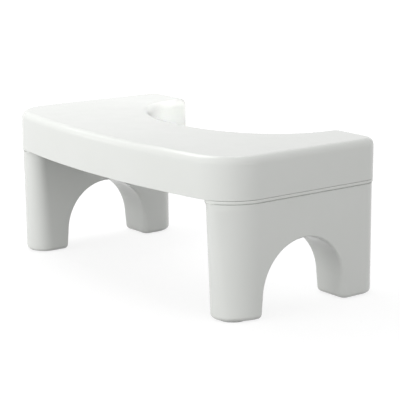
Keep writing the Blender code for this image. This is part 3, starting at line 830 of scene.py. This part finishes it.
class Finish:
    """A procedural material: a Principled shader and the nodes that feed it."""

    def __init__(self, name):
        self.material = bpy.data.materials.new(name)
        self.material.use_nodes = True
        self.tree = self.material.node_tree
        self.shader = self.tree.nodes["Principled BSDF"]
        self.where = self.tree.nodes.new("ShaderNodeTexCoord").outputs["Object"]

    def noise(self, kind):
        mapping = self.tree.nodes.new("ShaderNodeMapping")
        mapping.inputs["Scale"].default_value = kind.stretch
        self.tree.links.new(self.where, mapping.inputs["Vector"])
        noise = self.tree.nodes.new("ShaderNodeTexNoise")
        noise.inputs["Scale"].default_value = kind.scale
        noise.inputs["Detail"].default_value = kind.detail
        noise.inputs["Roughness"].default_value = kind.roughness
        self.tree.links.new(mapping.outputs["Vector"], noise.inputs["Vector"])
        return noise.outputs["Fac"]

    def spread(self, value, low, high, to_low=0, to_high=1):
        return map_range(self.tree, value, low, high, to_low, to_high)

    def math(self, operation, first, second):
        return calculate(self.tree, operation, first, second)

    def mixed(self, factor, first, second):
        return mix_colours(self.tree, factor, first, second)

    def part_of(self, vector, axis):
        node = self.tree.nodes.new("ShaderNodeSeparateXYZ")
        self.tree.links.new(vector, node.inputs["Vector"])
        return node.outputs[axis]

    def facing_up(self):
        """1 where the surface is level and faces up, 0 where it is steep."""
        normal = self.tree.nodes.new("ShaderNodeNewGeometry").outputs["Normal"]
        return self.spread(self.part_of(normal, "Z"), *LEVEL_SPAN)

    def bump(self, value, distance, under=None):
        node = self.tree.nodes.new("ShaderNodeBump")
        node.inputs["Strength"].default_value = 1.0
        node.inputs["Distance"].default_value = distance
        self.tree.links.new(value, node.inputs["Height"])
        if under:
            self.tree.links.new(under, node.inputs["Normal"])
        return node.outputs["Normal"]

    def feed(self, socket, value):
        self.tree.links.new(value, self.shader.inputs[socket])


def moulded_plastic(name, roughness, grain_depth):
    """Injection-moulded plastic, from its least and most roughness and the depth of its fine texture.

    Its colour is slightly cloudy, its soles have picked up dirt from the floor, and its tread is scratched.
    """
    finish = Finish(name)
    finish.shader.inputs["IOR"].default_value = PLASTIC_IOR
    cloud = finish.spread(finish.noise(PLASTIC_CLOUDS), *MOST_OF_NOISE)
    tone = finish.mixed(cloud, MOULDING_COLOUR, SHADED_COLOUR)
    low_down = finish.spread(finish.part_of(finish.where, "Z"), 0, GRIME_HEIGHT, 1, 0)
    patchy = finish.spread(finish.noise(GRIME), *GRIME_SPAN, 0, GRIME_STRENGTH)
    tone = finish.mixed(finish.math("MULTIPLY", low_down, patchy), tone, GRIME_COLOUR)
    finish.feed("Base Color", tone)
    along_x = finish.spread(finish.noise(SCRATCHES_ALONG_X), *SCRATCH_X_SPAN)
    along_y = finish.spread(finish.noise(SCRATCHES_ALONG_Y), *SCRATCH_Y_SPAN)
    scratches = finish.math("MULTIPLY", finish.math("MAXIMUM", along_x, along_y), finish.facing_up())
    even = finish.spread(finish.noise(PLASTIC_SHEEN), *MOST_OF_NOISE, *roughness)
    rougher = finish.math("MULTIPLY", scratches, SCRATCH_ROUGHNESS)
    finish.feed("Roughness", finish.math("ADD", even, rougher))
    flow = finish.bump(finish.noise(PLASTIC_FLOW), FLOW_DEPTH)
    textured = finish.bump(finish.noise(PLASTIC_GRAIN), grain_depth, flow)
    finish.feed("Normal", finish.bump(scratches, -SCRATCH_DEPTH, textured))
    return finish.material


def pad_rubber():
    """Matt moulded rubber, paler where it is clean and darker where it has rubbed on the floor."""
    finish = Finish("matt_grey_rubber")
    cloud = finish.spread(finish.noise(RUBBER_CLOUDS), *MIDDLE_OF_NOISE)
    finish.feed("Base Color", finish.mixed(cloud, RUBBER_COLOUR, WORN_RUBBER_COLOUR))
    finish.feed("Roughness", finish.spread(finish.noise(RUBBER_SHEEN), *MOST_OF_NOISE, *RUBBER_ROUGHNESS))
    finish.feed("Normal", finish.bump(finish.noise(RUBBER_GRAIN), RUBBER_GRAIN_DEPTH))
    return finish.material


# Studio

WHITE = (1.0, 1.0, 1.0)
AMBIENT = (0.5, 0.5, 0.5)
FLOOR_REACH = 6.0
FLOOR_DROP = 0.05 * MM  # below the pads' treads, so that the two don't lie in one plane
FLOOR_COLOUR = (0.30, 0.30, 0.30)
GLOW_NEAR, GLOW_FAR = 0.80, 1.0  # of the floor, near the stool and far from it
NEAR_RADIUS, FAR_RADIUS = 0.35, 1.2

# Name, azimuth and elevation from the stool in degrees, distance, length, width, power in watts
SOFTBOXES = (
    ("front", -96, 9, 1.6, 1.2, 0.6, 11.0),
    ("front_right", -40, 9, 1.6, 0.9, 0.6, 2.0),
    ("right", 0, 9, 1.6, 0.9, 0.6, 2.4),
    ("rear", 90, 9, 1.6, 1.2, 0.6, 3.0),
    ("front_left", -135, 9, 1.0, 0.5, 0.4, 0.25),
)
STOOL_MIDDLE = Vector((0, 0, 0.1))

# Two strips parallel to the stool draw the thin highlights along its front top edge.
# Name, place, facing, length, width, power in watts
STRIPS = (
    ("upper_strip", (-1.3, -0.26, 1.16), (0, 0.148, -0.989), 1.12, 0.09, 1.0),
    ("lower_strip", (-1.56, -1.04, 0.52), (0, 0.933, -0.359), 0.94, 0.08, 0.75),
)

# Two small lamps near the left end, where the tread is brightest: name, place, power in watts
NEAR_LAMPS = (
    ("left_top", (-0.25, -0.1, 0.75), 1.0),
    ("left_rear_top", (-0.35, 0.2, 0.7), 0.65),
)
NEAR_LAMP_SIZE = (0.4, 0.3)
LEFT_END = Vector((-0.15, 0, 0.17))

# A narrow beam on the recess's wall at the left horn, which is nearly white in the photograph
SPOT_PLACE = Vector((0.305, 0.29, 0.273))
SPOT_SIZE = (0.06, 0.04)
SPOT_POWER = 0.014
SPOT_SPREAD_DEGREES = 16
LEFT_HORN = Vector((-0.135, 0.085, 0.152))


def make_camera():
    up = CAMERA_RIGHT.cross(CAMERA_AHEAD)
    turn = Matrix((CAMERA_RIGHT, up, -CAMERA_AHEAD)).transposed().to_4x4()
    data = bpy.data.cameras.new("camera")
    data.lens = CAMERA_LENS
    data.sensor_width = CAMERA_SENSOR
    camera = new_object("camera", data)
    camera.matrix_world = Matrix.Translation(CAMERA_PLACE) @ turn
    bpy.context.scene.camera = camera


def softbox(name, place, facing, length, width, power):
    """A rectangular lamp at a place. Its long side is level, and square to the way it faces."""
    data = bpy.data.lights.new(name, "AREA")
    data.shape = "RECTANGLE"
    data.size, data.size_y = length, width
    data.energy = power
    lamp = new_object(name, data)
    back = -Vector(facing).normalized()
    level = Vector((0, 0, 1)).cross(back).normalized()
    turn = Matrix((level, back.cross(level), back)).transposed().to_4x4()
    lamp.matrix_world = Matrix.Translation(place) @ turn
    lamp.visible_camera = False
    return lamp


def seen_directly(tree):
    """1 for rays from the camera, off gloss or through glass, which show the backdrop."""
    path = tree.nodes.new("ShaderNodeLightPath")
    total = path.outputs["Is Camera Ray"]
    for name in ("Is Glossy Ray", "Is Transmission Ray"):
        total = calculate(tree, "MAXIMUM", total, path.outputs[name])
    return total


def make_world():
    """An even grey light, and a white backdrop where it is seen directly."""
    world = bpy.data.worlds.new("studio")
    world.use_nodes = True
    tree = world.node_tree
    background = tree.nodes["Background"]
    background.inputs["Strength"].default_value = 1.0
    colour = mix_colours(tree, seen_directly(tree), AMBIENT, WHITE)
    tree.links.new(colour, background.inputs["Color"])
    bpy.context.scene.world = world


def floor_finish():
    """Pale, and glowing by itself where it is seen directly, less so near the stool, to keep the shadow."""
    material = bpy.data.materials.new("floor")
    material.use_nodes = True
    tree = material.node_tree
    tree.nodes.clear()
    diffuse = tree.nodes.new("ShaderNodeBsdfDiffuse")
    diffuse.inputs["Color"].default_value = (*FLOOR_COLOUR, 1)
    away = tree.nodes.new("ShaderNodeVectorMath")
    away.operation = "LENGTH"
    tree.links.new(tree.nodes.new("ShaderNodeTexCoord").outputs["Object"], away.inputs[0])
    spread = map_range(tree, away.outputs["Value"], NEAR_RADIUS, FAR_RADIUS, GLOW_NEAR, GLOW_FAR)
    glow = tree.nodes.new("ShaderNodeEmission")
    tree.links.new(calculate(tree, "MULTIPLY", spread, seen_directly(tree)), glow.inputs["Strength"])
    both = tree.nodes.new("ShaderNodeAddShader")
    tree.links.new(diffuse.outputs["BSDF"], both.inputs[0])
    tree.links.new(glow.outputs["Emission"], both.inputs[1])
    output = tree.nodes.new("ShaderNodeOutputMaterial")
    tree.links.new(both.outputs["Shader"], output.inputs["Surface"])
    return material


def make_floor():
    bm = bmesh.new()
    corners = [(-1, -1), (1, -1), (1, 1), (-1, 1)]
    bm.faces.new([bm.verts.new((x * FLOOR_REACH, y * FLOOR_REACH, -FLOOR_DROP)) for x, y in corners])
    from_bmesh("floor", bm, floor_finish())


def make_lamps():
    for name, azimuth, elevation, distance, length, width, power in SOFTBOXES:
        level = direction(math.radians(azimuth)) * math.cos(math.radians(elevation))
        way = Vector((*level, math.sin(math.radians(elevation))))
        lamp = softbox(name, STOOL_MIDDLE + distance * way, -way, length, width, power)
        lamp.visible_glossy = False  # from behind, the tread would mirror the bright ones and turn white
    for strip in STRIPS:
        softbox(*strip)
    for name, place, power in NEAR_LAMPS:
        softbox(name, place, LEFT_END - Vector(place), *NEAR_LAMP_SIZE, power)
    spot = softbox("horn_spot", SPOT_PLACE, LEFT_HORN - SPOT_PLACE, *SPOT_SIZE, SPOT_POWER)
    spot.data.spread = math.radians(SPOT_SPREAD_DEGREES)


make_camera()
bpy.context.scene.view_settings.view_transform = "Standard"
make_world()
make_floor()
make_lamps()

gloss_plastic = moulded_plastic("white_gloss_plastic", GLOSS_ROUGHNESS, GLOSS_GRAIN_DEPTH)
satin_plastic = moulded_plastic("white_satin_plastic", SATIN_ROUGHNESS, SATIN_GRAIN_DEPTH)
rubber = pad_rubber()

place(make_deck(gloss_plastic, satin_plastic), "deck_moulding", "deck", "white_plastic")
right_leg = make_leg(gloss_plastic, satin_plastic)
left_leg = mirrored_copy(right_leg)
place(left_leg, "left_leg_moulding", "left_leg", "white_plastic")
place(right_leg, "right_leg_moulding", "right_leg", "white_plastic")
for end in ("front", "rear"):
    right_pad = make_pad(end == "front", rubber)
    left_pad = mirrored_copy(right_pad)
    place(left_pad, f"left_{end}_pad", f"left_{end}_foot_pad", "pad_rubber")
    place(right_pad, f"right_{end}_pad", f"right_{end}_foot_pad", "pad_rubber")
